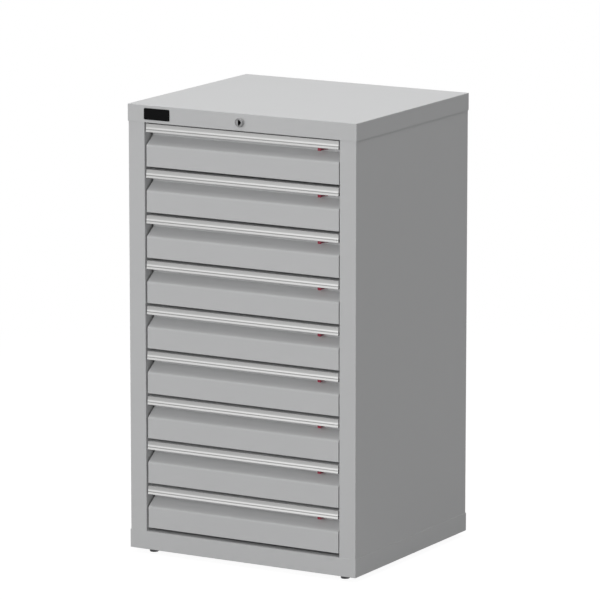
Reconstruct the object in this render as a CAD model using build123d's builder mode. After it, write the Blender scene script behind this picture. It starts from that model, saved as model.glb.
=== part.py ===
"""Steel tool cabinet: nine full-width drawers on roller carriages, under one central lock.

Millimetres, +Z up, +X to the right seen from the front, front towards -Y.
The origin is on the floor, under the middle of the cap and the base.
"""

from build123d import *
from math import cos, radians, sin
import os

os.makedirs("parts", exist_ok=True)

# Outer size over the cap and the base, and what fills the height from the floor up
cabinet_width = 566.0
cabinet_depth = 502.0
foot_height = 11.0
base_height = 40.6
bottom_gap = 7.4
drawer_count = 9
drawer_pitch = 100.0
drawer_gap = 6.0
top_gap = 2.9
cap_height = 38.1

# Sheet steel of the shell: folded sides slip inside the cap and the base
shell_sheet = 1.2
lap_gap = 0.1
edge_radius = 1.5
post_width = 40.0
post_return = 30.0
rear_flange = 20.0
panel_sheet = 1.0
panel_edge_gap = 0.5
ledge_depth = 24.0
frieze_flange = 12.0
flange_end_gap = 0.5

# Feet with a threaded stem in a nut on the base's floor
foot_radius = 10.0
foot_chamfer = 1.0
foot_side_inset = 42.5
foot_end_inset = 31.0
stem_radius = 4.0
stem_clearance = 0.2
thread_clearance = 0.05
nut_across_flats = 13.0
nut_height = 6.5
stem_stand = 3.0
return_clearance = 3.0

# Drawer front, folded from one sheet with a finger recess below the handle
side_gap = 2.6
front_recess = 3.0
drawer_sheet = 1.0
fold_radius = 1.5
slope_fold_radius = 6.5
fold_height = 50.0
slope_rise = 15.7
recess_depth = 27.0
lip_height = 15.5
edge_return = 12.0

# Drawer tray, whose back wall leaves room for the lock bar behind it
tray_rear_gap = 44.2
tray_height = 78.0
rim_width = 8.0

# Aluminium handle: a flat band over two sloping ribs, and a channel that grips the front's lip
handle_overhang = 0.8
handle_setback = 2.0
handle_wall = 2.2
handle_band = 7.9
rib_height = 3.8
rib_depth = 1.6
groove_height = 2.1
lower_rib_height = 4.2
lower_rib_depth = 2.0
rib_edge = 0.4
channel_floor = 1.6
channel_clearance = 0.2
channel_wall = 1.5
channel_rise = 5.0

# Sliding catch at the right end of the recess
catch_inset = 53.0
catch_width = 8.0
catch_bottom = 67.7
catch_top = 82.0
catch_pad = 2.5
catch_setback = 8.7
catch_bar_height = 4.8
catch_bar_thickness = 3.0
catch_bar_bottom = 68.6
catch_neck_width = 6.0
catch_travel = 8.0
catch_clearance = 0.3
catch_nose_inset = 0.6
catch_neck_inset = 0.6

# Roller slides: a rail on the cabinet, a carriage bar with rollers, a rail on the drawer
rail_sheet = 1.5
roller_width = 5.5
roller_radius = 9.0
roller_play = 0.3
side_play = 0.5
carriage_bar = 3.0
carriage_height = 14.0
slide_height = 40.0
rail_setback = 34.7
rail_rear_gap = 42.5
flange_play = 0.4
carriage_setback = 10.0
carriage_rear_gap = 30.0
roller_end_margin = 2.0
tray_stay = 28.0
stop_reach = 3.5
stop_gap = 0.5
drawer_rail_gap = 1.0
upright_sheet = 1.5
upright_depth = 30.0
upright_setback = 5.0
upright_rear_margin = 5.0

# Central lock: cylinder in the frieze, rod to the back, crank, and a bar with a hook per drawer
lock_radius = 9.5
lock_projection = 9.0
lock_chamfer = 0.8
barrel_radius = 8.0
barrel_length = 22.0
barrel_hole_clearance = 0.1
plug_radius = 6.3
plug_clearance = 0.08
plug_recess = 0.4
plug_overhang = 2.0
key_slot_width = 2.6
key_slot_height = 11.0
key_slot_depth = 6.0
lock_nut_across_flats = 22.0
lock_nut_thickness = 5.0
rod_radius = 4.0
rod_clearance = 0.08
bearing_sheet = 2.0
bearing_half_width = 14.0
bearing_drop = 10.0
bearing_foot = 14.0
bearing_setback = 12.0
crank_radius = 10.0
crank_thickness = 4.0
crank_hub_radius = 7.0
crank_eye_radius = 5.0
crank_rest_angle = 45.0
crank_gap = 0.5
pin_radius = 2.5
pin_slot_clearance = 0.6
pin_overhang = 0.5
bar_width = 25.0
bar_thickness = 3.0
bar_back_gap = 3.0
bar_head = 5.0
bar_tail = 60.0
hook_sheet = 2.5
hook_width = 20.0
hook_play = 4.0
hook_bite = 8.0
hook_clearance = 1.5
hook_foot = 20.0
hook_bend = 3.0
guide_sheet = 1.5
guide_height = 20.0
guide_foot = 12.0
guide_clearance = 0.4
guide_level = 30.0
guide_drawers = (2, 5, 8)

# Bare name plate at the left of the frieze
plate_width = 64.0
plate_height = 25.0
plate_thickness = 1.5
plate_radius = 3.0
plate_inset = 0.7

# Levels
base_bottom = foot_height
base_top = base_bottom + base_height
lowest_drawer = base_top + bottom_gap
front_height = drawer_pitch - drawer_gap
opening_top = lowest_drawer + (drawer_count - 1) * drawer_pitch + front_height + top_gap
cap_bottom = opening_top
cabinet_top = cap_bottom + cap_height
body_bottom = base_bottom + shell_sheet
body_top = cabinet_top - shell_sheet
body_height = body_top - body_bottom
frieze_middle = cap_bottom + cap_height / 2

# Half widths and depths
half_width = cabinet_width / 2
half_depth = cabinet_depth / 2
body_half_width = half_width - shell_sheet - lap_gap
body_half_depth = half_depth - shell_sheet - lap_gap
inner_half_width = body_half_width - shell_sheet
opening_half = body_half_width - post_width
front_half = opening_half - side_gap
slide_width = 2 * rail_sheet + 2 * side_play + 2 * roller_width + carriage_bar
tray_half = opening_half - slide_width
post_front = -body_half_depth
front_face = post_front + front_recess
panel_face = body_half_depth - shell_sheet - panel_sheet
foot_x = half_width - foot_side_inset
foot_y = half_depth - foot_end_inset

# Depths inside a drawer, and how far it comes out
recess_wall = front_face + recess_depth
recess_wall_rear = recess_wall + drawer_sheet
tray_back_outer = panel_face - tray_rear_gap
tray_back_inner = tray_back_outer - drawer_sheet
drawer_travel = tray_back_inner - front_face - drawer_sheet - tray_stay
handle_face = post_front + handle_setback
lip_front = handle_face + handle_wall
slope_top = fold_height + slope_rise
return_y = front_face + (drawer_sheet + edge_return) / 2
tray_depth = tray_back_outer - recess_wall
tray_middle = (recess_wall + tray_back_outer) / 2


def drawer_bottom(number):
    """Height of a drawer front's lower edge, drawer 1 being the top one."""
    return lowest_drawer + (drawer_count - number) * drawer_pitch


def cross_plane(x, z=0.0):
    """Plane square to X at x, drawn in depth and in height above z."""
    return Plane(origin=(x, 0, z), x_dir=(0, 1, 0), z_dir=(1, 0, 0))


def front_plane(y, z=0.0):
    """Plane square to Y at y, drawn in width and in height above z, extruding backwards."""
    return Plane(origin=(0, y, z), x_dir=(-1, 0, 0), z_dir=(0, 1, 0))


# Top cap: one sheet folded down all round, its front skirt being the frieze
with BuildPart() as top_cap:
    with BuildSketch(Plane.XY.offset(cap_bottom)):
        Rectangle(cabinet_width, cabinet_depth)
    extrude(amount=cap_height)
    cap_rim = top_cap.edges().group_by(Axis.Z)[-1]
    fillet(top_cap.edges().filter_by(Axis.Z) + cap_rim, radius=edge_radius)
    with BuildSketch(Plane.XY.offset(cap_bottom)):
        Rectangle(cabinet_width - 2 * shell_sheet, cabinet_depth - 2 * shell_sheet)
    extrude(amount=cap_height - shell_sheet, mode=Mode.SUBTRACT)
    with BuildSketch(Plane.XY.offset(cap_bottom)):
        with Locations((0, -half_depth + shell_sheet + frieze_flange / 2)):
            Rectangle(2 * (opening_half - flange_end_gap), frieze_flange)
    extrude(amount=shell_sheet)
    with BuildSketch(front_plane(-half_depth)):
        with Locations((0, frieze_middle)):
            Circle(barrel_radius + barrel_hole_clearance)
    extrude(amount=shell_sheet, mode=Mode.SUBTRACT)
top_cap.part.label = "top_cap"
export_step(top_cap.part, "parts/top_cap.step")

# Base: the same fold turned upwards, with a ledge behind its front rail
foot_places = [(x, y) for x in (-foot_x, foot_x) for y in (-foot_y, foot_y)]
with BuildPart() as base:
    with BuildSketch(Plane.XY.offset(base_bottom)):
        Rectangle(cabinet_width, cabinet_depth)
    extrude(amount=base_height)
    base_rim = base.edges().group_by(Axis.Z)[0]
    fillet(base.edges().filter_by(Axis.Z) + base_rim, radius=edge_radius)
    with BuildSketch(Plane.XY.offset(body_bottom)):
        Rectangle(cabinet_width - 2 * shell_sheet, cabinet_depth - 2 * shell_sheet)
    extrude(amount=base_height - shell_sheet, mode=Mode.SUBTRACT)
    with BuildSketch(Plane.XY.offset(base_top - shell_sheet)):
        with Locations((0, -half_depth + shell_sheet + ledge_depth / 2)):
            Rectangle(2 * (opening_half - flange_end_gap), ledge_depth)
    extrude(amount=shell_sheet)
    with BuildSketch(Plane.XY.offset(base_bottom)):
        with Locations(*foot_places):
            Circle(stem_radius + stem_clearance)
    extrude(amount=shell_sheet, mode=Mode.SUBTRACT)
base.part.label = "base"
export_step(base.part, "parts/base.step")

# Side: outer wall, front post with its return, and a flange for the back panel
with BuildPart() as right_side:
    with BuildSketch(Plane.XY.offset(body_bottom)):
        with BuildLine():
            side_path = FilletPolyline(
                (opening_half, post_front + post_return),
                (opening_half, post_front),
                (body_half_width, post_front),
                (body_half_width, body_half_depth),
                (body_half_width - rear_flange, body_half_depth),
                radius=edge_radius,
            )
            offset(side_path, amount=shell_sheet, side=Side.LEFT)
        make_face()
    extrude(amount=body_height)
    # The return stops above the foot's nut
    with BuildSketch(Plane.XY.offset(body_bottom)):
        with Locations((opening_half, post_front + post_return)):
            Rectangle(4 * shell_sheet, 2 * post_return - 4 * shell_sheet)
    extrude(amount=nut_height + stem_stand + return_clearance, mode=Mode.SUBTRACT)
right_side.part.label = "right_side"
export_step(right_side.part, "parts/right_side.step")

with BuildPart() as left_side:
    mirror(right_side.part, about=Plane.YZ)
left_side.part.label = "left_side"
export_step(left_side.part, "parts/left_side.step")

# Back panel, inside the sides' rear flanges
with BuildPart() as back_panel:
    with BuildSketch(front_plane(panel_face)):
        with Locations((0, body_bottom + body_height / 2)):
            Rectangle(2 * (inner_half_width - panel_edge_gap), body_height)
    extrude(amount=panel_sheet)
back_panel.part.label = "back_panel"
export_step(back_panel.part, "parts/back_panel.step")

# Uprights: four channels inside the sides, which carry the fixed rails
rail_front = post_front + rail_setback
rail_rear = panel_face - rail_rear_gap
upright_ys = (rail_front + upright_setback, rail_rear - upright_rear_margin - upright_depth)
with BuildPart() as rail_uprights:
    with BuildSketch(Plane.XY.offset(body_bottom)):
        for y in upright_ys:
            with BuildLine():
                Polyline(
                    (inner_half_width, y),
                    (opening_half, y),
                    (opening_half, y + upright_depth),
                    (inner_half_width, y + upright_depth),
                    (inner_half_width, y + upright_depth - upright_sheet),
                    (opening_half + upright_sheet, y + upright_depth - upright_sheet),
                    (opening_half + upright_sheet, y + upright_sheet),
                    (inner_half_width, y + upright_sheet),
                    close=True,
                )
            make_face()
    extrude(amount=body_height)
    mirror(rail_uprights.part, about=Plane.YZ)
rail_uprights.part.label = "rail_uprights"
export_step(rail_uprights.part, "parts/rail_uprights.step")

# Fixed rails: a channel for every drawer, open to the carriage, with a stop at its front end
rail_inner_height = 2 * (roller_radius + roller_play)
rail_height = rail_inner_height + 2 * rail_sheet
rail_reach = side_play + roller_width - flange_play
with BuildPart() as right_rails:
    for number in range(1, drawer_count + 1):
        with BuildSketch(front_plane(rail_front, drawer_bottom(number) + slide_height)):
            with Locations((-opening_half + (rail_sheet + rail_reach) / 2, 0)):
                Rectangle(rail_sheet + rail_reach, rail_height)
            with Locations((-opening_half + rail_sheet + rail_reach / 2, 0)):
                Rectangle(rail_reach, rail_inner_height, mode=Mode.SUBTRACT)
        extrude(amount=rail_rear - rail_front)
        with BuildSketch(front_plane(rail_front, drawer_bottom(number) + slide_height)):
            with Locations((-opening_half + rail_sheet + stop_reach / 2, 0)):
                Rectangle(stop_reach, rail_inner_height)
        extrude(amount=rail_sheet)
right_rails.part.label = "right_rails"
export_step(right_rails.part, "parts/right_rails.step")

with BuildPart() as left_rails:
    mirror(right_rails.part, about=Plane.YZ)
left_rails.part.label = "left_rails"
export_step(left_rails.part, "parts/left_rails.step")

# Feet, and the nuts that their stems screw into
with BuildPart() as feet:
    with BuildSketch():
        with Locations(*foot_places):
            Circle(foot_radius)
    extrude(amount=foot_height)
    chamfer(feet.edges().group_by(Axis.Z)[0], length=foot_chamfer)
    with BuildSketch(Plane.XY.offset(foot_height)):
        with Locations(*foot_places):
            Circle(stem_radius)
    extrude(amount=shell_sheet + nut_height + stem_stand)
feet.part.label = "feet"
export_step(feet.part, "parts/feet.step")

with BuildPart() as foot_nuts:
    with BuildSketch(Plane.XY.offset(body_bottom)):
        with Locations(*foot_places):
            RegularPolygon(nut_across_flats / 2, 6, major_radius=False)
            Circle(stem_radius + thread_clearance, mode=Mode.SUBTRACT)
    extrude(amount=nut_height)
foot_nuts.part.label = "foot_nuts"
export_step(foot_nuts.part, "parts/foot_nuts.step")

# Bare name plate on the frieze
plate_x = -opening_half + plate_inset + plate_width / 2
with BuildPart() as name_plate:
    with BuildSketch(front_plane(-half_depth - plate_thickness)):
        with Locations((-plate_x, frieze_middle)):
            RectangleRounded(plate_width, plate_height, plate_radius)
    extrude(amount=plate_thickness)
name_plate.part.label = "name_plate"
export_step(name_plate.part, "parts/name_plate.step")

# Lock body: collar outside the frieze, barrel through it, bored for the plug
lock_face = -half_depth - lock_projection
barrel_end = -half_depth + barrel_length
with BuildPart() as lock_body:
    with BuildSketch(front_plane(lock_face)):
        with Locations((0, frieze_middle)):
            Circle(lock_radius)
    extrude(amount=lock_projection)
    chamfer(lock_body.edges().group_by(Axis.Y)[0], length=lock_chamfer)
    with BuildSketch(front_plane(-half_depth)):
        with Locations((0, frieze_middle)):
            Circle(barrel_radius)
    extrude(amount=barrel_length)
    with BuildSketch(front_plane(lock_face)):
        with Locations((0, frieze_middle)):
            Circle(plug_radius + plug_clearance)
    extrude(amount=lock_projection + barrel_length, mode=Mode.SUBTRACT)
lock_body.part.label = "lock_body"
export_step(lock_body.part, "parts/lock_body.step")

with BuildPart() as lock_nut:
    with BuildSketch(front_plane(-half_depth + shell_sheet)):
        with Locations((0, frieze_middle)):
            RegularPolygon(lock_nut_across_flats / 2, 6, major_radius=False)
            Circle(barrel_radius + thread_clearance, mode=Mode.SUBTRACT)
    extrude(amount=lock_nut_thickness)
lock_nut.part.label = "lock_nut"
export_step(lock_nut.part, "parts/lock_nut.step")

# Lock plug with its keyway, turned by the key
plug_end = barrel_end + plug_overhang
with BuildPart() as lock_plug:
    with BuildSketch(front_plane(lock_face + plug_recess)):
        with Locations((0, frieze_middle)):
            Circle(plug_radius)
    extrude(amount=plug_end - lock_face - plug_recess)
    with BuildSketch(front_plane(lock_face + plug_recess)):
        with Locations((0, frieze_middle)):
            Rectangle(key_slot_width, key_slot_height)
    extrude(amount=key_slot_depth, mode=Mode.SUBTRACT)
lock_plug.part.label = "lock_plug"
export_step(lock_plug.part, "parts/lock_plug.step")

# Lock rod from the plug to the back, and the crank on its end
bar_rear = panel_face - bar_back_gap
bar_front = bar_rear - bar_thickness
crank_rear = bar_front - crank_gap
crank_front = crank_rear - crank_thickness
with BuildPart() as lock_rod:
    with BuildSketch(front_plane(plug_end)):
        with Locations((0, frieze_middle)):
            Circle(rod_radius)
    extrude(amount=crank_front - plug_end)
lock_rod.part.label = "lock_rod"
export_step(lock_rod.part, "parts/lock_rod.step")

pin_x = crank_radius * cos(radians(crank_rest_angle))
pin_rise = crank_radius * sin(radians(crank_rest_angle))
bar_lift = 2 * pin_rise
with BuildPart() as lock_crank:
    with BuildSketch(front_plane(crank_front, frieze_middle)):
        with Locations((0, 0)):
            Circle(crank_hub_radius)
        with Locations((-pin_x, pin_rise)):
            Circle(crank_eye_radius)
        make_hull()
    extrude(amount=crank_thickness)
    with BuildSketch(front_plane(crank_rear, frieze_middle)):
        with Locations((-pin_x, pin_rise)):
            Circle(pin_radius)
    extrude(amount=crank_gap + bar_thickness + pin_overhang)
lock_crank.part.label = "lock_crank"
export_step(lock_crank.part, "parts/lock_crank.step")

# Bearing bracket that hangs from the cap and carries the rod's rear end
bearing_rear = crank_front - bearing_setback
with BuildPart() as rod_bearing:
    with BuildSketch(front_plane(bearing_rear - bearing_sheet, frieze_middle)):
        with Locations((0, (body_top - frieze_middle - bearing_drop) / 2)):
            Rectangle(2 * bearing_half_width, body_top - frieze_middle + bearing_drop)
        Circle(rod_radius + rod_clearance, mode=Mode.SUBTRACT)
    extrude(amount=bearing_sheet)
    with BuildSketch(Plane.XY.offset(body_top - bearing_sheet)):
        with Locations((0, bearing_rear - bearing_foot / 2)):
            Rectangle(2 * bearing_half_width, bearing_foot)
    extrude(amount=bearing_sheet)
rod_bearing.part.label = "rod_bearing"
export_step(rod_bearing.part, "parts/rod_bearing.step")

# Lock bar behind the drawers, lowered by the crank pin in its cross slot
bar_x = (crank_radius + pin_x) / 2
slot_height = 2 * (pin_radius + pin_slot_clearance)
slot_width = crank_radius - pin_x + slot_height
bar_top = frieze_middle + pin_rise + slot_height / 2 + bar_head
bar_bottom = lowest_drawer + bar_tail
with BuildPart() as lock_bar:
    with BuildSketch(front_plane(bar_front)):
        with Locations((-bar_x, (bar_top + bar_bottom) / 2)):
            Rectangle(bar_width, bar_top - bar_bottom)
        with Locations((-bar_x, frieze_middle + pin_rise)):
            SlotOverall(slot_width, slot_height, mode=Mode.SUBTRACT)
    extrude(amount=bar_thickness)
lock_bar.part.label = "lock_bar"
export_step(lock_bar.part, "parts/lock_bar.step")

# Hooks on the bar: each drops in front of one drawer's back wall when the bar is down
hook_arm = tray_height + hook_clearance + bar_lift
hook_tip = tray_height - hook_bite + bar_lift
hook_nose = tray_back_inner - hook_play
with BuildPart() as lock_hooks:
    for number in range(1, drawer_count + 1):
        with BuildSketch(cross_plane(bar_x - hook_width / 2, drawer_bottom(number))):
            with BuildLine():
                hook_path = FilletPolyline(
                    (bar_front, hook_arm + hook_sheet - hook_foot),
                    (bar_front, hook_arm + hook_sheet),
                    (hook_nose - hook_sheet, hook_arm + hook_sheet),
                    (hook_nose - hook_sheet, hook_tip),
                    radius=hook_bend,
                )
                offset(hook_path, amount=hook_sheet, side=Side.LEFT)
            make_face()
        extrude(amount=hook_width)
lock_hooks.part.label = "lock_hooks"
export_step(lock_hooks.part, "parts/lock_hooks.step")

# Guides on the back panel that the bar slides in
guide_inner = bar_width / 2 + guide_clearance
guide_face = bar_front - guide_clearance
with BuildPart() as bar_guides:
    for number in guide_drawers:
        guide_bottom = drawer_bottom(number) + guide_level - guide_height / 2
        with BuildSketch(Plane.XY.offset(guide_bottom)):
            with BuildLine():
                guide_path = Polyline(
                    (bar_x - guide_inner - guide_foot, panel_face),
                    (bar_x - guide_inner, panel_face),
                    (bar_x - guide_inner, guide_face),
                    (bar_x + guide_inner, guide_face),
                    (bar_x + guide_inner, panel_face),
                    (bar_x + guide_inner + guide_foot, panel_face),
                )
                offset(guide_path, amount=guide_sheet, side=Side.RIGHT, kind=Kind.INTERSECTION)
            make_face()
        extrude(amount=guide_height)
bar_guides.part.label = "bar_guides"
export_step(bar_guides.part, "parts/bar_guides.step")

# Levels of the handle's steps above a drawer's lower edge
band_bottom = front_height - handle_band
rib_bottom = band_bottom - rib_height
lower_rib_top = rib_bottom - groove_height
handle_bottom = lower_rib_top - lower_rib_height
channel_top = handle_bottom + channel_floor
channel_rear = lip_front + drawer_sheet + channel_clearance

# Places across the slide, from the opening's edge inwards, and rollers along it
bar_outer = opening_half - rail_sheet - side_play - roller_width
bar_inner = bar_outer - carriage_bar
carriage_front = rail_front + carriage_setback
carriage_rear = rail_rear - carriage_rear_gap
carriage_travel = drawer_travel / 2
rail_stop = rail_front + rail_sheet + stop_gap
drawer_rail_front = recess_wall_rear + drawer_rail_gap
drawer_rail_rear = tray_back_outer
drawer_rail_stop = drawer_rail_rear - rail_sheet - stop_gap
roller_inset = roller_radius + roller_end_margin
outer_roller_ys = (rail_stop + roller_radius + carriage_travel, carriage_rear - roller_inset)
inner_roller_ys = (carriage_front + roller_inset, drawer_rail_stop - roller_radius - carriage_travel)

# Catch, behind and through the recess wall
catch_front = handle_face + catch_setback
catch_bar_front = recess_wall_rear + catch_clearance
catch_bar_rear = catch_bar_front + catch_bar_thickness
catch_left = front_half - catch_inset - catch_width / 2
catch_nose = front_half - catch_nose_inset
neck_x = catch_left + catch_neck_inset + catch_neck_width / 2
catch_slot_width = catch_neck_width + catch_travel + 2 * catch_clearance
catch_slot_x = neck_x - catch_neck_width / 2 - catch_clearance + catch_slot_width / 2
catch_slot_height = catch_bar_height + 2 * catch_clearance
catch_bar_middle = catch_bar_bottom + catch_bar_height / 2

for number in range(1, drawer_count + 1):
    bottom = drawer_bottom(number)

    # Drawer: a folded front welded to a tray, whose front wall runs down behind the slope
    with BuildPart() as drawer:
        with BuildSketch(cross_plane(-front_half, bottom)):
            with BuildLine():
                front_path = FilletPolyline(
                    (recess_wall_rear, 0),
                    (front_face, 0),
                    (front_face, fold_height),
                    (recess_wall, slope_top),
                    (recess_wall, front_height - drawer_sheet),
                    (lip_front + drawer_sheet, front_height - drawer_sheet),
                    (lip_front + drawer_sheet, front_height - lip_height),
                    radius=(fold_radius, slope_fold_radius, fold_radius, fold_radius, fold_radius),
                )
                offset(front_path, amount=drawer_sheet, side=Side.RIGHT)
            make_face()
        extrude(amount=2 * front_half)
        # Returns that stiffen the ends of the front's flat lower part
        with BuildSketch(Plane.XY.offset(bottom + drawer_sheet / 2)):
            for side in (-1, 1):
                with Locations((side * (front_half - drawer_sheet / 2), return_y)):
                    Rectangle(drawer_sheet, edge_return)
        extrude(amount=fold_height - drawer_sheet / 2)
        # Floor and four walls of the tray
        with BuildSketch(Plane.XY.offset(bottom + drawer_sheet)):
            with Locations((0, tray_middle)):
                Rectangle(2 * tray_half, tray_depth)
        extrude(amount=tray_height - drawer_sheet)
        with BuildSketch(Plane.XY.offset(bottom + 2 * drawer_sheet)):
            with Locations((0, tray_middle)):
                Rectangle(2 * (tray_half - drawer_sheet), tray_depth - 2 * drawer_sheet)
        extrude(amount=tray_height - 2 * drawer_sheet, mode=Mode.SUBTRACT)
        # Rim turned outwards along the top of both sides
        with BuildSketch(Plane.XY.offset(bottom + tray_height - drawer_sheet)):
            for side in (-1, 1):
                with Locations((side * (tray_half + rim_width / 2), tray_middle)):
                    Rectangle(rim_width, tray_depth)
        extrude(amount=drawer_sheet)
        # Channel rails on both sides, each with a stop at its rear end
        with BuildSketch(front_plane(drawer_rail_front, bottom + slide_height)):
            for side in (-1, 1):
                with Locations((side * (tray_half + (rail_sheet + rail_reach) / 2), 0)):
                    Rectangle(rail_sheet + rail_reach, rail_height)
                with Locations((side * (tray_half + rail_sheet + rail_reach / 2), 0)):
                    Rectangle(rail_reach, rail_inner_height, mode=Mode.SUBTRACT)
        extrude(amount=drawer_rail_rear - drawer_rail_front)
        with BuildSketch(front_plane(drawer_rail_rear - rail_sheet, bottom + slide_height)):
            for side in (-1, 1):
                with Locations((side * (tray_half + rail_sheet + stop_reach / 2), 0)):
                    Rectangle(stop_reach, rail_inner_height)
        extrude(amount=rail_sheet)
        # Slot for the catch's neck, and the notch where its bar leaves the tray
        with BuildSketch(front_plane(recess_wall, bottom + catch_bar_middle)):
            with Locations((-catch_slot_x, 0)):
                Rectangle(catch_slot_width, catch_slot_height)
        extrude(amount=drawer_sheet, mode=Mode.SUBTRACT)
        with BuildSketch(front_plane(recess_wall_rear, bottom + catch_bar_middle)):
            with Locations((-tray_half + drawer_sheet / 2, 0)):
                Rectangle(2 * drawer_sheet, catch_slot_height)
        extrude(amount=catch_bar_thickness + 2 * catch_clearance, mode=Mode.SUBTRACT)
    drawer.part.label = f"drawer_{number}"
    export_step(drawer.part, f"parts/drawer_{number}.step")

    # Handle: extruded aluminium across the whole front, hooked over the front's lip
    with BuildPart() as handle:
        with BuildSketch(cross_plane(-front_half - handle_overhang, bottom)):
            with BuildLine():
                Polyline(
                    (lip_front, front_height),
                    (handle_face, front_height),
                    (handle_face, band_bottom),
                    (handle_face - rib_depth, rib_bottom + rib_edge),
                    (handle_face - rib_depth, rib_bottom),
                    (handle_face, rib_bottom),
                    (handle_face, lower_rib_top),
                    (handle_face - lower_rib_depth, handle_bottom + rib_edge),
                    (handle_face - lower_rib_depth, handle_bottom),
                    (channel_rear + channel_wall, handle_bottom),
                    (channel_rear + channel_wall, channel_top + channel_rise),
                    (channel_rear, channel_top + channel_rise),
                    (channel_rear, channel_top),
                    (lip_front, channel_top),
                    close=True,
                )
            make_face()
        extrude(amount=2 * (front_half + handle_overhang))
    handle.part.label = f"drawer_{number}_handle"
    export_step(handle.part, f"parts/drawer_{number}_handle.step")

    # Catch: thumb pad in the recess, neck through the wall, bar behind it
    with BuildPart() as catch:
        with BuildSketch(cross_plane(catch_left, bottom)):
            with Locations((catch_front + catch_pad / 2, (catch_bottom + catch_top) / 2)):
                Rectangle(catch_pad, catch_top - catch_bottom)
            web_depth = recess_wall - catch_clearance - catch_front
            with Locations((catch_front + web_depth / 2, catch_bar_middle)):
                Rectangle(web_depth, catch_bar_height)
        extrude(amount=catch_width)
        with BuildSketch(front_plane(recess_wall - catch_clearance, bottom + catch_bar_middle)):
            with Locations((-neck_x, 0)):
                Rectangle(catch_neck_width, catch_bar_height)
        extrude(amount=catch_bar_front - recess_wall + catch_clearance)
        with BuildSketch(front_plane(catch_bar_front, bottom + catch_bar_middle)):
            with Locations((-(catch_left + catch_nose) / 2, 0)):
                Rectangle(catch_nose - catch_left, catch_bar_height)
        extrude(amount=catch_bar_thickness)
    catch.part.label = f"drawer_{number}_catch"
    export_step(catch.part, f"parts/drawer_{number}_catch.step")

    # Carriage: a bar each side with two rollers in the fixed rail and two in the drawer's rail
    with BuildPart() as carriage:
        with BuildSketch(cross_plane(bar_inner, bottom + slide_height)):
            with Locations(((carriage_front + carriage_rear) / 2, 0)):
                Rectangle(carriage_rear - carriage_front, carriage_height)
        extrude(amount=carriage_bar)
        mirror(carriage.part, about=Plane.YZ)
    rollers = []
    for side in (-1, 1):
        for x, direction, places in ((bar_outer, 1, outer_roller_ys), (bar_inner, -1, inner_roller_ys)):
            for y in places:
                with BuildPart() as roller:
                    with BuildSketch(cross_plane(side * x, bottom + slide_height)):
                        with Locations((y, 0)):
                            Circle(roller_radius)
                    extrude(amount=side * direction * roller_width)
                rollers.append(roller.part.solid())
    carriage_set = Compound(children=[*carriage.part.solids(), *rollers])
    carriage_set.label = f"drawer_{number}_carriage"
    export_step(carriage_set, f"parts/drawer_{number}_carriage.step")

# Travels for the record's joints
key_turn = 2 * crank_rest_angle
print(f"drawer travel {drawer_travel:.1f}, carriage {carriage_travel:.1f}, catch {catch_travel:.1f}")
key_ratio = 1000 * radians(key_turn) / bar_lift
print(f"key turn {key_turn:.0f} degrees, bar {bar_lift:.4f}, {key_ratio:.2f} radians per metre")
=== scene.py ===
"""Steel tool cabinet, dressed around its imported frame.

Metres, +Z up, +X to the right seen from the front, front towards -Y.
The sections follow the cabinet as it is put together, and the studio comes last.
"""

from math import copysign, pi, radians

import bmesh
import bpy
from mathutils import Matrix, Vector


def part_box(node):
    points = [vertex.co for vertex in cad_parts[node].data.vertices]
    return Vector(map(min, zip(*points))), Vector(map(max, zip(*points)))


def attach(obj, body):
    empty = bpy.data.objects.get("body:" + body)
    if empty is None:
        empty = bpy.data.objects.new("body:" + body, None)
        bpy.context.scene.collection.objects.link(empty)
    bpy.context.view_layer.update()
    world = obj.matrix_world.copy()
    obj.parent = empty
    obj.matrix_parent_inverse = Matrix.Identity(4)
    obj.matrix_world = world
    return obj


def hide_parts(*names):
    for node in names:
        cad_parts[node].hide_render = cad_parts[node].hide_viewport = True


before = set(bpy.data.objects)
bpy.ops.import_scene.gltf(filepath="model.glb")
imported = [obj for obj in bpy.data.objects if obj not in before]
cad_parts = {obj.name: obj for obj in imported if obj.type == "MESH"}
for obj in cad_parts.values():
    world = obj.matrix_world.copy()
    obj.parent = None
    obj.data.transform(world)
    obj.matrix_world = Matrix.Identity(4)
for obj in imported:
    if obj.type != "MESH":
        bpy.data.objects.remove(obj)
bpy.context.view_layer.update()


# Base. A tray of folded sheet steel, turned upwards, that carries the whole shell.
# It is powder coated light grey after folding: a thin even film with a faint
# orange peel, whose rounded edges catch the light.
sheet_edge = 0.00025
same_point = 2e-6
flat_degrees = 0.4
sharp_degrees = 30.0


def folded(name, node, edge):
    """A copy of a CAD node with its flat faces joined and its sharp edges rounded."""
    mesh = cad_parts[node].data.copy()
    mesh.name = name
    mesh.materials.clear()
    work = bmesh.new()
    work.from_mesh(mesh)
    bmesh.ops.remove_doubles(work, verts=work.verts, dist=same_point)
    bmesh.ops.dissolve_limit(work, angle_limit=radians(flat_degrees), verts=work.verts, edges=work.edges)
    for face in work.faces:
        face.smooth = True
    work.to_mesh(mesh)
    work.free()
    piece = bpy.data.objects.new(name, mesh)
    bpy.context.scene.collection.objects.link(piece)
    bevel = piece.modifiers.new("rounded_edges", "BEVEL")
    bevel.width = edge
    bevel.segments = 2
    bevel.limit_method = "ANGLE"
    bevel.angle_limit = radians(sharp_degrees)
    piece.modifiers.new("flat_faces", "WEIGHTED_NORMAL").keep_sharp = True
    return piece


def fit(piece, node, body, finish):
    """The piece stands for a CAD node, moves with its body and takes its finish."""
    piece.data.materials.append(finish.material)
    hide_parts(node)
    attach(piece, body)


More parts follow.
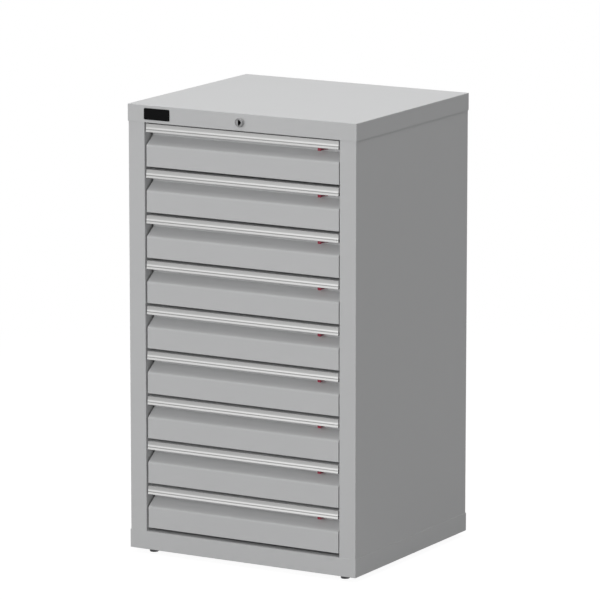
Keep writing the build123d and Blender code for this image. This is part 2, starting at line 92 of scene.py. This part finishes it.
class Wire:
    """An output in a node tree, so that its maths reads as a Python expression."""

    def __init__(self, nodes, socket):
        self.nodes = nodes
        self.socket = socket

    def maths(self, operation, first, second):
        return self.nodes.node("ShaderNodeMath", {"operation": operation}, {0: first, 1: second})

    def __add__(self, other):
        return self.maths("ADD", self, other)

    def __radd__(self, other):
        return self.maths("ADD", other, self)

    def __sub__(self, other):
        return self.maths("SUBTRACT", self, other)

    def __rsub__(self, other):
        return self.maths("SUBTRACT", other, self)

    def __mul__(self, other):
        return self.maths("MULTIPLY", self, other)

    def __rmul__(self, other):
        return self.maths("MULTIPLY", other, self)

    def __mod__(self, other):
        return self.maths("MODULO", self, other)

    def __rmod__(self, other):
        return self.maths("MODULO", other, self)


class Nodes:
    """A node tree, built node by node from numbers, colours and wires."""

    def __init__(self, tree):
        self.tree = tree

    def feed(self, socket, value):
        if isinstance(value, Wire):
            self.tree.links.new(value.socket, socket)
        else:
            socket.default_value = value

    def node(self, kind, settings, sockets, output=0):
        """One output of a new node, whose settings are made before its sockets are fed."""
        made = self.tree.nodes.new(kind)
        for name, value in settings.items():
            setattr(made, name, value)
        for name, value in sockets.items():
            self.feed(made.inputs[name], value)
        return Wire(self, made.outputs[output])

    def along(self, vector, axis):
        """The part of a vector along X, Y or Z."""
        return self.node("ShaderNodeSeparateXYZ", {}, {0: vector}, axis)


class Finish(Nodes):
    """A material with one Principled shader, in the piece's own metres."""

    def __init__(self, name):
        self.material = bpy.data.materials.new(name)
        self.material.use_nodes = True
        super().__init__(self.material.node_tree)
        self.shader = self.tree.nodes["Principled BSDF"]
        self.place = self.node("ShaderNodeTexCoord", {}, {}, "Object")

    def set(self, socket, value):
        self.feed(self.shader.inputs[socket], value)

    def noise(self, scale, detail, stretch=None):
        """Noise with scale cells per metre, stretched along the axes where asked."""
        place = self.place
        if stretch:
            place = self.node("ShaderNodeMapping", {}, {"Vector": place, "Scale": stretch})
        sockets = {"Vector": place, "Scale": scale, "Detail": detail}
        return self.node("ShaderNodeTexNoise", {}, sockets, "Fac")

    def between(self, share, dark, light):
        """The colour a share of the way from the dark one to the light one."""
        return self.node("ShaderNodeMix", {"data_type": "RGBA"}, {0: share, 6: dark, 7: light}, 2)

    def rising(self, value, start, end):
        """A share that rises from 0 to 1 while the value goes from start to end."""
        sockets = {"Value": value, "From Min": start, "From Max": end}
        return self.node("ShaderNodeMapRange", {}, sockets, "Result")

    def length(self, vector):
        return self.node("ShaderNodeVectorMath", {"operation": "LENGTH"}, {0: vector}, "Value")

    def relief(self, height, depth, strength):
        """Bump of that depth in metres."""
        sockets = {"Strength": strength, "Distance": depth, "Height": height}
        self.set("Normal", self.node("ShaderNodeBump", {}, sockets, "Normal"))


def powder_coat(name, dark, light):
    """A satin film with orange peel, a fine speckle and a slow drift of tone."""
    coat = Finish(name)
    peel = coat.noise(scale=650.0, detail=1.5)
    speckle = coat.noise(scale=2600.0, detail=1.0)
    drift = coat.noise(scale=7.0, detail=3.0)
    coat.set("Base Color", coat.between(0.7 * drift + 0.3 * speckle, dark, light))
    coat.set("Roughness", 0.40 + 0.10 * peel + 0.06 * drift)
    coat.set("Specular IOR Level", 0.30)
    coat.relief(peel + 0.25 * speckle, depth=0.00006, strength=0.5)
    return coat


shell_coat = powder_coat(
    "light_grey_powder_coat", dark=(0.620, 0.624, 0.628, 1), light=(0.655, 0.659, 0.663, 1)
)
fit(folded("base_tray", "base", sheet_edge), "base", "cabinet", shell_coat)


# Levelling feet. Four round feet moulded in dark grey plastic over a threaded stem,
# each screwed into a zinc plated nut welded on the base's floor.
foot_edge = 0.0006
foot_nut_edge = 0.0005


def moulding(name, dark, light, grain_scale, roughness, depth, strength):
    """Moulded plastic, with a fine grain in its colour, its roughness and its relief."""
    plastic = Finish(name)
    grain = plastic.noise(grain_scale, detail=2.0)
    least, spread = roughness
    plastic.set("Base Color", plastic.between(grain, dark, light))
    plastic.set("Roughness", least + spread * grain)
    plastic.relief(grain, depth, strength)
    return plastic


def zinc_plate(name, dark, light):
    """Bright zinc: a metal skin with soft spangles and fine rolling marks."""
    plate = Finish(name)
    cells = {"Vector": plate.place, "Scale": 160.0}
    spangle = plate.node("ShaderNodeTexVoronoi", {}, cells, "Distance")
    streak = plate.noise(scale=40.0, detail=3.0, stretch=(1.0, 1.0, 14.0))
    plate.set("Metallic", 0.9)
    plate.set("Base Color", plate.between(0.6 * spangle + 0.4 * streak, dark, light))
    plate.set("Roughness", 0.30 + 0.16 * spangle + 0.10 * streak)
    plate.relief(streak, depth=0.00003, strength=0.4)
    return plate


foot_plastic = moulding(
    "dark_grey_moulding",
    dark=(0.045, 0.046, 0.048, 1),
    light=(0.075, 0.076, 0.080, 1),
    grain_scale=1800.0,
    roughness=(0.50, 0.15),
    depth=0.00005,
    strength=0.5,
)
zinc = zinc_plate("bright_zinc_plate", dark=(0.50, 0.515, 0.53, 1), light=(0.66, 0.67, 0.68, 1))
fit(folded("levelling_feet", "feet", foot_edge), "feet", "cabinet", foot_plastic)
fit(folded("foot_nuts_hex", "foot_nuts", foot_nut_edge), "foot_nuts", "cabinet", zinc)


# Sides. One sheet each, folded from the front post round to the rear flange,
# and slipped inside the base and the cap.
for hand in ("left", "right"):
    side = folded(f"{hand}_side_sheet", f"{hand}_side", sheet_edge)
    fit(side, f"{hand}_side", "cabinet", shell_coat)


# Back panel. A flat sheet inside the sides' rear flanges, held by blind rivets
# whose painted heads stand in a column down each flange.
panel_edge = 0.0002
rivet_radius = 0.0034
rivet_height = 0.0012
rivet_count = 7
rivet_inset = 0.011
rivet_margin = 0.075


class Plan(Nodes):
    """A Geometry Nodes tree with named sizes."""

    def __init__(self, name, sizes):
        super().__init__(bpy.data.node_groups.new(name, "GeometryNodeTree"))
        face = self.tree.interface
        face.new_socket(name="Geometry", in_out="INPUT", socket_type="NodeSocketGeometry")
        for size in sizes:
            face.new_socket(name=size, in_out="INPUT", socket_type="NodeSocketFloat")
        face.new_socket(name="Geometry", in_out="OUTPUT", socket_type="NodeSocketGeometry")
        self.inlet = self.tree.nodes.new("NodeGroupInput")
        self.outlet = self.tree.nodes.new("NodeGroupOutput")

    def given(self, name):
        """The geometry or the size of that name that the modifier gives."""
        return Wire(self, self.inlet.outputs[name])

    def end(self, geometry, finish):
        """Ends the tree with its finish, as one mesh."""
        whole = self.node("GeometryNodeRealizeInstances", {}, {"Geometry": geometry})
        sockets = {"Geometry": whole, "Material": finish.material}
        self.feed(self.outlet.inputs[0], self.node("GeometryNodeSetMaterial", {}, sockets))


def rivet_plan(name, finish):
    """A domed head on every point, standing along the point's own facing."""
    plan = Plan(name, ("Head Radius", "Head Height"))
    radius = plan.given("Head Radius")
    ball = plan.node("GeometryNodeMeshUVSphere", {}, {"Segments": 20, "Rings": 10, "Radius": 1.0})
    spot = plan.node("GeometryNodeInputPosition", {}, {})
    wide = plan.along(spot, "X") * radius
    deep = plan.along(spot, "Y") * radius
    upper = plan.node("ShaderNodeMath", {"operation": "MAXIMUM"}, {0: plan.along(spot, "Z"), 1: 0.0})
    high = upper * plan.given("Head Height")
    place = plan.node("ShaderNodeCombineXYZ", {}, {0: wide, 1: deep, 2: high})
    head = plan.node("GeometryNodeSetPosition", {}, {"Geometry": ball, "Position": place})
    soft = plan.node("GeometryNodeSetShadeSmooth", {}, {"Geometry": head})
    vector = {"data_type": "FLOAT_VECTOR"}
    facing = plan.node("GeometryNodeInputNamedAttribute", vector, {"Name": "facing"})
    turn = plan.node("FunctionNodeAlignRotationToVector", {"axis": "Z"}, {"Vector": facing})
    spread = {"Points": plan.given("Geometry"), "Instance": soft, "Rotation": turn}
    plan.end(plan.node("GeometryNodeInstanceOnPoints", {}, spread), finish)
    return plan


def rivets(name, plan, places, radius, height, body):
    """One mesh of rivet heads for a body, from pairs of a place and a facing."""
    mesh = bpy.data.meshes.new(name)
    mesh.from_pydata([place for place, facing in places], [], [])
    facings = mesh.attributes.new("facing", "FLOAT_VECTOR", "POINT")
    facings.data.foreach_set("vector", [part for place, facing in places for part in facing])
    piece = bpy.data.objects.new(name, mesh)
    bpy.context.scene.collection.objects.link(piece)
    heads = piece.modifiers.new("heads", "NODES")
    heads.node_group = plan.tree
    inputs = (item for item in plan.tree.interface.items_tree if item.in_out == "INPUT")
    sizes = {item.name: item.identifier for item in inputs}
    heads[sizes["Head Radius"]] = radius
    heads[sizes["Head Height"]] = height
    finished = piece.evaluated_get(bpy.context.evaluated_depsgraph_get())
    piece.data = bpy.data.meshes.new_from_object(finished)
    piece.modifiers.clear()
    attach(piece, body)


fit(folded("back_sheet", "back_panel", panel_edge), "back_panel", "cabinet", shell_coat)
panel_low, panel_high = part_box("back_panel")
flange_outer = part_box("right_side")[1]
rivet_pitch = (panel_high.z - panel_low.z - 2 * rivet_margin) / (rivet_count - 1)
flange_rivets = []
for side in (-1, 1):
    x = side * (flange_outer.x - rivet_inset)
    for step in range(rivet_count):
        z = panel_low.z + rivet_margin + step * rivet_pitch
        flange_rivets.append(((x, flange_outer.y, z), (0.0, 1.0, 0.0)))
painted_rivet = rivet_plan("painted_rivet", shell_coat)
rivets("back_rivets", painted_rivet, flange_rivets, rivet_radius, rivet_height, "cabinet")


# Uprights and fixed rails. Zinc plated channels: the uprights are welded inside the
# sides, and the rails are welded across them, a pair for each drawer.
channel_edge = 0.0004
uprights = folded("upright_channels", "rail_uprights", channel_edge)
fit(uprights, "rail_uprights", "cabinet", zinc)
for hand in ("left", "right"):
    rails = folded(f"{hand}_rail_channels", f"{hand}_rails", channel_edge)
    fit(rails, f"{hand}_rails", "cabinet", zinc)


# Top cap. An inverted tray in the same sheet as the base, whose front skirt is the
# frieze over the drawers.
fit(folded("cap_tray", "top_cap", sheet_edge), "top_cap", "cabinet", shell_coat)


# Name plate. A bare black plate with rounded corners, stuck on the left of the
# frieze: a raised rim round a flat field.
plate_edge = 0.0003
plate_rim = 0.0011
plate_sink = 0.0004


def pressed_plate(name, node):
    """The node's plate with its front face pressed in behind a rim."""
    plate = folded(name, node, plate_edge)
    work = bmesh.new()
    work.from_mesh(plate.data)
    front = min(work.faces, key=lambda face: face.calc_center_median().y)
    bmesh.ops.inset_region(work, faces=[front], thickness=plate_rim, depth=-plate_sink)
    for face in work.faces:
        face.smooth = True
    work.to_mesh(plate.data)
    work.free()
    return plate


plate_black = moulding(
    "satin_black_moulding",
    dark=(0.003, 0.003, 0.0035, 1),
    light=(0.007, 0.007, 0.0075, 1),
    grain_scale=2200.0,
    roughness=(0.38, 0.12),
    depth=0.00003,
    strength=0.4,
)
plate_black.set("Specular IOR Level", 0.04)
fit(pressed_plate("bare_plate", "name_plate"), "name_plate", "cabinet", plate_black)


# Central lock. A turned and plated cylinder: the collar outside the frieze, the
# barrel through it with its nut behind, and the plug with its keyway.
collar_edge = 0.0004
lock_nut_edge = 0.0006
plug_edge = 0.0003
plug_low, plug_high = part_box("lock_plug")
lock_height = (plug_low.z + plug_high.z) / 2
lock_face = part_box("lock_body")[0].y
skin_start = lock_face + 0.0012
skin_end = lock_face + 0.0022
ring_pitch = 0.00035


def turned_metal(name, dark, light, sunk_tone, roughness):
    """Fine rings round the lock's own axis, and behind the face a duller, less metallic surface of the
    casting; in the plug's keyway its near-white tone is painted light that lifts the keyway's shade.
    """
    metal = Finish(name)
    centre = {"Vector": metal.place, "Location": (0.0, 0.0, -lock_height)}
    centred = metal.node("ShaderNodeMapping", {}, centre)
    flat = metal.node("ShaderNodeVectorMath", {"operation": "MULTIPLY"}, {0: centred, 1: (1.0, 0.0, 1.0)})
    turns = metal.length(flat) * (2 * pi / ring_pitch)
    rings = metal.node("ShaderNodeMath", {"operation": "SINE"}, {0: turns})
    grain = metal.noise(scale=900.0, detail=2.0)
    # Deeper than the face the metal takes the sunk tone: on the collar a duller cast finish, in the
    # plug's keyway painted light.
    sunk_share = metal.rising(metal.along(metal.place, "Y"), skin_start, skin_end)
    metal.set("Base Color", metal.between(sunk_share, metal.between(grain, dark, light), sunk_tone))
    metal.set("Metallic", 1.0 - 0.9 * sunk_share)
    metal.set("Roughness", roughness + 0.08 * grain)
    metal.relief(rings, depth=0.00001, strength=0.25)
    return metal


collar_metal = turned_metal(
    "turned_collar",
    dark=(0.19, 0.19, 0.193, 1),
    light=(0.24, 0.24, 0.243, 1),
    sunk_tone=(0.42, 0.42, 0.424, 1),
    roughness=0.33,
)
# The plug's near-white tone behind its face is painted light in the keyway, lifting the slot's shade.
plug_metal = turned_metal(
    "turned_plug",
    dark=(0.23, 0.23, 0.233, 1),
    light=(0.29, 0.29, 0.293, 1),
    sunk_tone=(0.90, 0.90, 0.90, 1),
    roughness=0.30,
)
fit(folded("lock_collar", "lock_body", collar_edge), "lock_body", "cabinet", collar_metal)
fit(folded("lock_nut_hex", "lock_nut", lock_nut_edge), "lock_nut", "cabinet", zinc)
fit(folded("lock_plug_keyway", "lock_plug", plug_edge), "lock_plug", "key_plug", plug_metal)


# Lock linkage. Rod, crank and bearing bracket under the cap, then the flat bar behind
# the drawers with a hook welded on for each, and its guides on the back panel.
for node, body, edge in (
    ("lock_rod", "key_plug", 0.0004),
    ("lock_crank", "key_plug", 0.0005),
    ("rod_bearing", "cabinet", 0.0004),
    ("lock_bar", "locking_bar", 0.0005),
    ("lock_hooks", "locking_bar", 0.0004),
    ("bar_guides", "cabinet", 0.0003),
):
    fit(folded(node + "_plated", node, edge), node, body, zinc)


# Drawers. Each front is folded with a slope and a finger recess, welded to its tray,
# and powder coated with it. Levels are above the front's lower edge, and the recess
# is measured back from the front's flat.
drawer_count = 9
drawer_numbers = range(1, drawer_count + 1)
drawer_edge = 0.00022
fold_drop = 0.0026
fold_low = 0.045
fold_high = 0.053
slope_top = 0.064
slope_depth = 0.0265
end_start = 0.2385
front_trim = 0.0009


def trimmed(piece, trim):
    """The piece with its two ends drawn in a little."""
    for vertex in piece.data.vertices:
        if abs(vertex.co.x) > end_start:
            vertex.co.x -= copysign(trim, vertex.co.x)
    return piece


def lowered_fold(piece, corner):
    """The drawer with the fold under its slope let down, so that the slope is steeper."""
    for vertex in piece.data.vertices:
        level = vertex.co.z - corner.z
        if vertex.co.y < corner.y + slope_depth and level > fold_low:
            share = min(1.0, max(0.0, (slope_top - level) / (slope_top - fold_high)))
            vertex.co.z -= fold_drop * share
    return piece


for number in drawer_numbers:
    node = f"drawer_{number}"
    drawer = lowered_fold(folded(node + "_front_and_tray", node, drawer_edge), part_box(node)[0])
    fit(trimmed(drawer, front_trim), node, node, shell_coat)


# Handles. Aluminium extrusions, satin anodised, with die lines along their length
# and two slanted ribs under the flat band, parted by a groove. The ribs' upward-facing
# faces are painted lighter, as painted light from above, and the groove is painted
# darker, as painted shade under the upper rib.
handle_edge = 0.0003
handle_trim = 0.0015
lowest_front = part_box("drawer_9")[0].z
drawer_pitch = (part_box("drawer_1")[0].z - lowest_front) / (drawer_count - 1)
groove_level = 0.08125
groove_half = 0.00105
handle_metal = Finish("satin_anodised_aluminium")
die_lines = handle_metal.noise(scale=1.0, detail=3.0, stretch=(3.0, 2600.0, 2600.0))
haze = handle_metal.noise(scale=90.0, detail=2.0)
# Faces that turn upwards, the ribs, take the lighter of the two tones below: painted light from above.
facing = handle_metal.node("ShaderNodeNewGeometry", {}, {}, "True Normal")
painted_top_light = handle_metal.rising(handle_metal.along(facing, "Z"), start=0.15, end=0.35)
satin = handle_metal.between(die_lines, (0.30, 0.30, 0.297, 1), (0.35, 0.35, 0.347, 1))
bright = handle_metal.between(die_lines, (0.45, 0.45, 0.447, 1), (0.50, 0.50, 0.497, 1))
# A thin band at the groove's level is painted darker: painted shade under the upper rib.
level = (handle_metal.along(handle_metal.place, "Z") - lowest_front) % drawer_pitch
groove_band = {0: level, 1: groove_level, 2: groove_half}
painted_groove_shade = handle_metal.node("ShaderNodeMath", {"operation": "COMPARE"}, groove_band)
tone_with_painted_light = handle_metal.between(painted_top_light, satin, bright)
handle_metal.set("Metallic", 1.0)
handle_metal.set("Base Color", handle_metal.between(painted_groove_shade, tone_with_painted_light, (0.24, 0.24, 0.238, 1)))
handle_metal.set("Roughness", 0.34 + 0.12 * die_lines + 0.05 * haze)
handle_metal.relief(die_lines, depth=0.00002, strength=0.5)
for number in drawer_numbers:
    node = f"drawer_{number}_handle"
    handle = trimmed(folded(node + "_extrusion", node, handle_edge), handle_trim)
    fit(handle, node, f"drawer_{number}", handle_metal)


# Catches. Red moulded sliders: a thumb pad under the handle and a bar behind the
# recess wall that slides out behind the post.
catch_edge = 0.0004
catch_plastic = moulding(
    "red_moulding",
    dark=(0.26, 0.006, 0.030, 1),
    light=(0.34, 0.010, 0.042, 1),
    grain_scale=1500.0,
    roughness=(0.32, 0.12),
    depth=0.00003,
    strength=0.4,
)
for number in drawer_numbers:
    node = f"drawer_{number}_catch"
    fit(folded(node + "_slider", node, catch_edge), node, f"catch_{number}", catch_plastic)


# Carriages. A zinc plated bar each side with ball-bearing rollers, whose axles are
# riveted over on the bar's far face. The axles' places are measured back from the
# bar's front end.
roller_edge = 0.0005
roller_width = 0.0055
bar_thickness = 0.003
axle_radius = 0.0030
axle_height = 0.0012
outer_axles = (0.2110, 0.3690)
inner_axles = (0.0110, 0.1873)
roller_steel = zinc_plate("bearing_steel", dark=(0.46, 0.47, 0.48, 1), light=(0.60, 0.61, 0.62, 1))
axle_head = rivet_plan("axle_head", zinc)
for number in drawer_numbers:
    node = f"drawer_{number}_carriage"
    body = f"carriage_{number}"
    fit(folded(node + "_rollers", node, roller_edge), node, body, roller_steel)
    low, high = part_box(node)
    outer_face = high.x - roller_width
    inner_face = outer_face - bar_thickness
    middle = (low.z + high.z) / 2
    heads = []
    for side in (-1, 1):
        heads += [((side * inner_face, low.y + y, middle), (-side, 0.0, 0.0)) for y in outer_axles]
        heads += [((side * outer_face, low.y + y, middle), (side, 0.0, 0.0)) for y in inner_axles]
    rivets(node + "_axles", axle_head, heads, axle_radius, axle_height, body)


# Studio. A pale floor that the camera sees white, a white room, and four soft lamps: a low
# one in front, a wide one in front to the left, one overhead and a small one high at the
# right. Near the cabinet the floor keeps its shadow, and further out it is plain white.
cabinet_middle = (0.0, 0.0, 0.5)
upper_middle = (0.0, 0.0, 0.9)
white = (1.0, 1.0, 1.0, 1.0)
room_strength = 0.212
floor_half = 40.0
shadow_reach = 1.0
white_reach = 2.5


def lamp(name, place, target, size, power):
    """A round soft lamp, turned towards its target and unseen by the camera."""
    light = bpy.data.lights.new(name, "AREA")
    light.shape = "DISK"
    light.size = size
    light.energy = power
    body = bpy.data.objects.new(name, light)
    body.location = place
    body.rotation_euler = (Vector(target) - Vector(place)).to_track_quat("-Z", "Y").to_euler()
    body.visible_camera = False
    bpy.context.scene.collection.objects.link(body)


def seen_white(nodes, lit, plain):
    """Mixes to the plain white shader for rays of the camera, and of gloss and glass."""
    seen = nodes.node("ShaderNodeLightPath", {}, {}, "Is Camera Ray")
    for kind in ("Is Glossy Ray", "Is Transmission Ray"):
        ray = nodes.node("ShaderNodeLightPath", {}, {}, kind)
        seen = nodes.node("ShaderNodeMath", {"operation": "MAXIMUM"}, {0: seen, 1: ray})
    return nodes.node("ShaderNodeMixShader", {}, {0: seen, 1: lit, 2: plain})


lamp("front_lamp", place=(0.6, -6.36, 1.85), target=cabinet_middle, size=2.6, power=70.0)
lamp("left_lamp", place=(-1.2, -5.8, 2.2), target=cabinet_middle, size=4.5, power=70.0)
lamp("top_lamp", place=(0.2, 0.2, 5.0), target=cabinet_middle, size=4.5, power=105.0)
lamp("right_lamp", place=(1.45, -2.2, 4.1), target=upper_middle, size=0.5, power=9.0)

world = bpy.data.worlds.new("white_room")
bpy.context.scene.world = world
world.use_nodes = True
room = Nodes(world.node_tree)
room_light = room.tree.nodes["Background"]
room.feed(room_light.inputs["Color"], white)
room.feed(room_light.inputs["Strength"], room_strength)
room_white = room.node("ShaderNodeBackground", {}, {"Color": white})
room_seen = seen_white(room, Wire(room, room_light.outputs[0]), room_white)
room.feed(room.tree.nodes["World Output"].inputs["Surface"], room_seen)

floor_paint = Finish("pale_floor")
floor_paint.set("Base Color", (0.50, 0.50, 0.50, 1.0))
floor_paint.set("Roughness", 0.9)
floor_paint.set("Specular IOR Level", 0.0)
floor_glow = floor_paint.node("ShaderNodeEmission", {}, {"Strength": 0.94})
floor_faint = floor_paint.node("ShaderNodeBsdfDiffuse", {}, {"Color": (0.16, 0.16, 0.16, 1.0)})
floor_near = floor_paint.node("ShaderNodeAddShader", {}, {0: floor_glow, 1: floor_faint})
floor_far = floor_paint.node("ShaderNodeEmission", {}, {"Strength": 1.0})
away = floor_paint.rising(floor_paint.length(floor_paint.place), shadow_reach, white_reach)
floor_plain = floor_paint.node("ShaderNodeMixShader", {}, {0: away, 1: floor_near, 2: floor_far})
floor_seen = seen_white(floor_paint, Wire(floor_paint, floor_paint.shader.outputs[0]), floor_plain)
floor_paint.feed(floor_paint.tree.nodes["Material Output"].inputs["Surface"], floor_seen)

floor_corners = [(x * floor_half, y * floor_half, 0.0) for x, y in ((-1, -1), (1, -1), (1, 1), (-1, 1))]
floor_mesh = bpy.data.meshes.new("floor")
floor_mesh.from_pydata(floor_corners, [], [(0, 1, 2, 3)])
floor_mesh.materials.append(floor_paint.material)
floor = bpy.data.objects.new("floor", floor_mesh)
bpy.context.scene.collection.objects.link(floor)

camera_azimuth = 29.96
camera_elevation = 11.003
camera_data = bpy.data.cameras.new("camera")
camera_data.sensor_width = 36.0
camera_data.lens = 297.17
camera_data.clip_end = 200.0
camera = bpy.data.objects.new("camera", camera_data)
camera.location = (5.3107, -9.2108, 2.6147)
camera.rotation_euler = (radians(90.0 - camera_elevation), 0.0, radians(camera_azimuth))
bpy.context.scene.collection.objects.link(camera)
bpy.context.scene.camera = camera
bpy.context.scene.view_settings.view_transform = "Standard"
